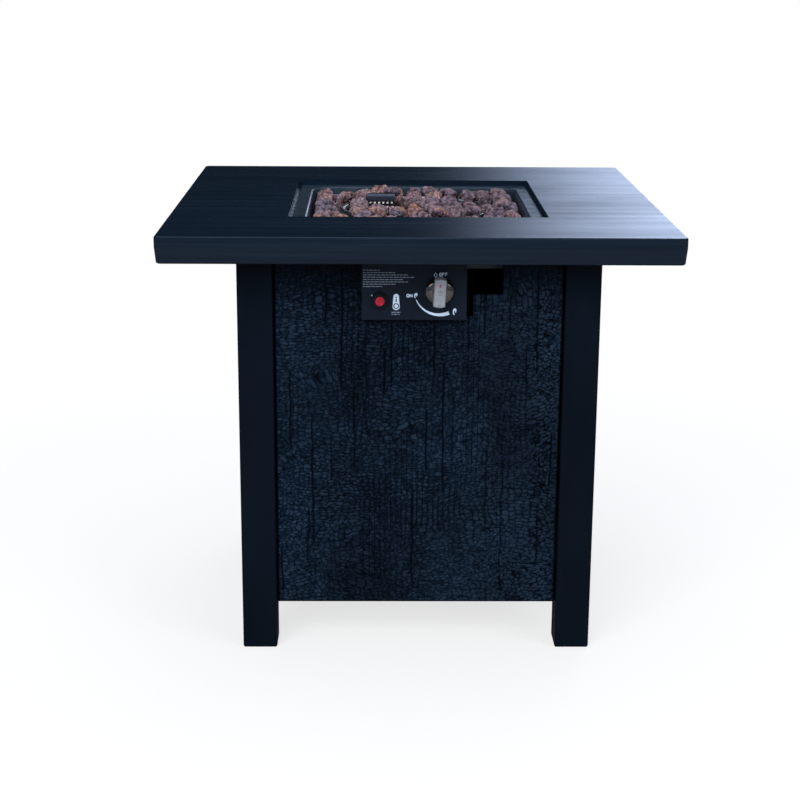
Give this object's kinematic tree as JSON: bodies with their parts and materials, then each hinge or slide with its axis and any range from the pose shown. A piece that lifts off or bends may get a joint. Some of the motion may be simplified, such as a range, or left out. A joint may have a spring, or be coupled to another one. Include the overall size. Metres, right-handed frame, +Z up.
{
  "type": "gas fire pit table",
  "caption": "Square gas fire pit table: cast top with a rock-filled burner pan, four legs, embossed panels, control plate, rear door and a shelf for a gas cylinder.",
  "frame": {"origin": "on the floor under the middle of the square table", "axes": "+Z up, +X to the right seen from the front, front with the control plate towards -Y, door towards +Y"},
  "size_m": [0.711, 0.711, 0.63],
  "materials": {
    "slab": "satin paint with a fine brushed grain",
    "panel": "embossed cracked relief, satin paint",
    "frame_paint": "satin powder coat",
    "plate_paint": "satin powder coat",
    "pan_steel": "satin heat-proof paint",
    "stainless": "brushed",
    "zinc_steel": "zinc plated",
    "dark_steel": "heat-darkened",
    "brass": "machined",
    "copper": "drawn copper",
    "aluminium": "drawn tube",
    "valve_alloy": "die-cast",
    "chrome": "polished",
    "satin_grip": "satin silver",
    "black_plastic": "satin",
    "red_plastic": "gloss",
    "cell_wrap": "plain wrap",
    "ceramic": "unglazed",
    "lead_rubber": "matte",
    "lava": "porous, rough"
  },
  "bodies": {
    "table": {"tabletop": "slab", "front_panel": "panel", "right_panel": "panel", "left_panel": "panel", "burner_pan": "pan_steel", "ring_burner": "stainless", "burner_locknut": "zinc_steel", "gas_elbow": "brass", "gas_pipe": "aluminium", "pilot_guard": "dark_steel", "sensor_bracket": "stainless", "spark_electrode": "ceramic", "flame_sensor": "copper", "ignition_lead": "lead_rubber", "sensor_lead": "copper", "heat_shield": "zinc_steel", "shield_spacers": "zinc_steel", "shield_nuts": "zinc_steel", "tank_shelf": "frame_paint", "control_plate": "plate_paint", "valve_body": "valve_alloy", "gas_inlet": "brass", "valve_screws": "zinc_steel", "igniter_housing": "black_plastic", "igniter_nut": "black_plastic", "battery": "cell_wrap", "battery_contact": "brass", "hinge_plates": "frame_paint", "hinge_washer": "zinc_steel", "door_catch": "black_plastic", "frame_bolts": "zinc_steel", "panel_screws": "zinc_steel", "lava_rocks_top": "lava", "lava_rocks_base": "lava", "leg_feet": "black_plastic", "leg_front_left": "frame_paint", "leg_front_right": "frame_paint", "leg_back_right": "frame_paint", "leg_back_left": "frame_paint", "top_rail_front": "frame_paint", "bottom_rail_front": "frame_paint", "top_rail_right": "frame_paint", "bottom_rail_right": "frame_paint", "top_rail_back": "frame_paint", "bottom_rail_back": "frame_paint", "top_rail_left": "frame_paint", "bottom_rail_left": "frame_paint"},
    "plunger": {"valve_plunger": "stainless"},
    "knob": {"valve_stem": "brass", "control_knob": "chrome", "knob_grip": "satin_grip"},
    "igniter_cap": {"igniter_cap": "black_plastic"},
    "igniter_button": {"igniter_button": "red_plastic"},
    "door": {"door_panel": "panel", "door_straps": "frame_paint", "door_strike": "zinc_steel", "door_knob": "black_plastic", "door_knob_screw": "zinc_steel"},
    "clamp": {"tank_clamp_screw": "black_plastic"}
  },
  "joints": [
    {"name": "knob_push", "type": "slide", "parent": "table", "child": "plunger", "axis": [0, 1, 0], "range_m": [0, 0.003], "stiffness_N_per_m": 1200, "springref_m": -0.002},
    {"name": "knob_turn", "type": "hinge", "parent": "plunger", "child": "knob", "pos_m": [0.0281, -0.26, 0.5389], "axis": [0, -1, 0], "range_deg": [0, 210]},
    {"name": "igniter_cap_off", "type": "slide", "parent": "table", "child": "igniter_cap", "axis": [0, -1, 0], "range_m": [0, 0.03]},
    {"name": "igniter_push", "type": "slide", "parent": "igniter_cap", "child": "igniter_button", "axis": [0, 1, 0], "range_m": [0, 0.003], "stiffness_N_per_m": 800, "springref_m": -0.002},
    {"name": "door_swing", "type": "hinge", "parent": "table", "child": "door", "pos_m": [-0.195, 0.241, 0.33], "axis": [0, 0, 1], "range_deg": [0, 105]},
    {"name": "clamp_screw", "type": "slide", "parent": "table", "child": "clamp", "axis": [0, -1, 0], "range_m": [0, 0.018]}
  ]
}
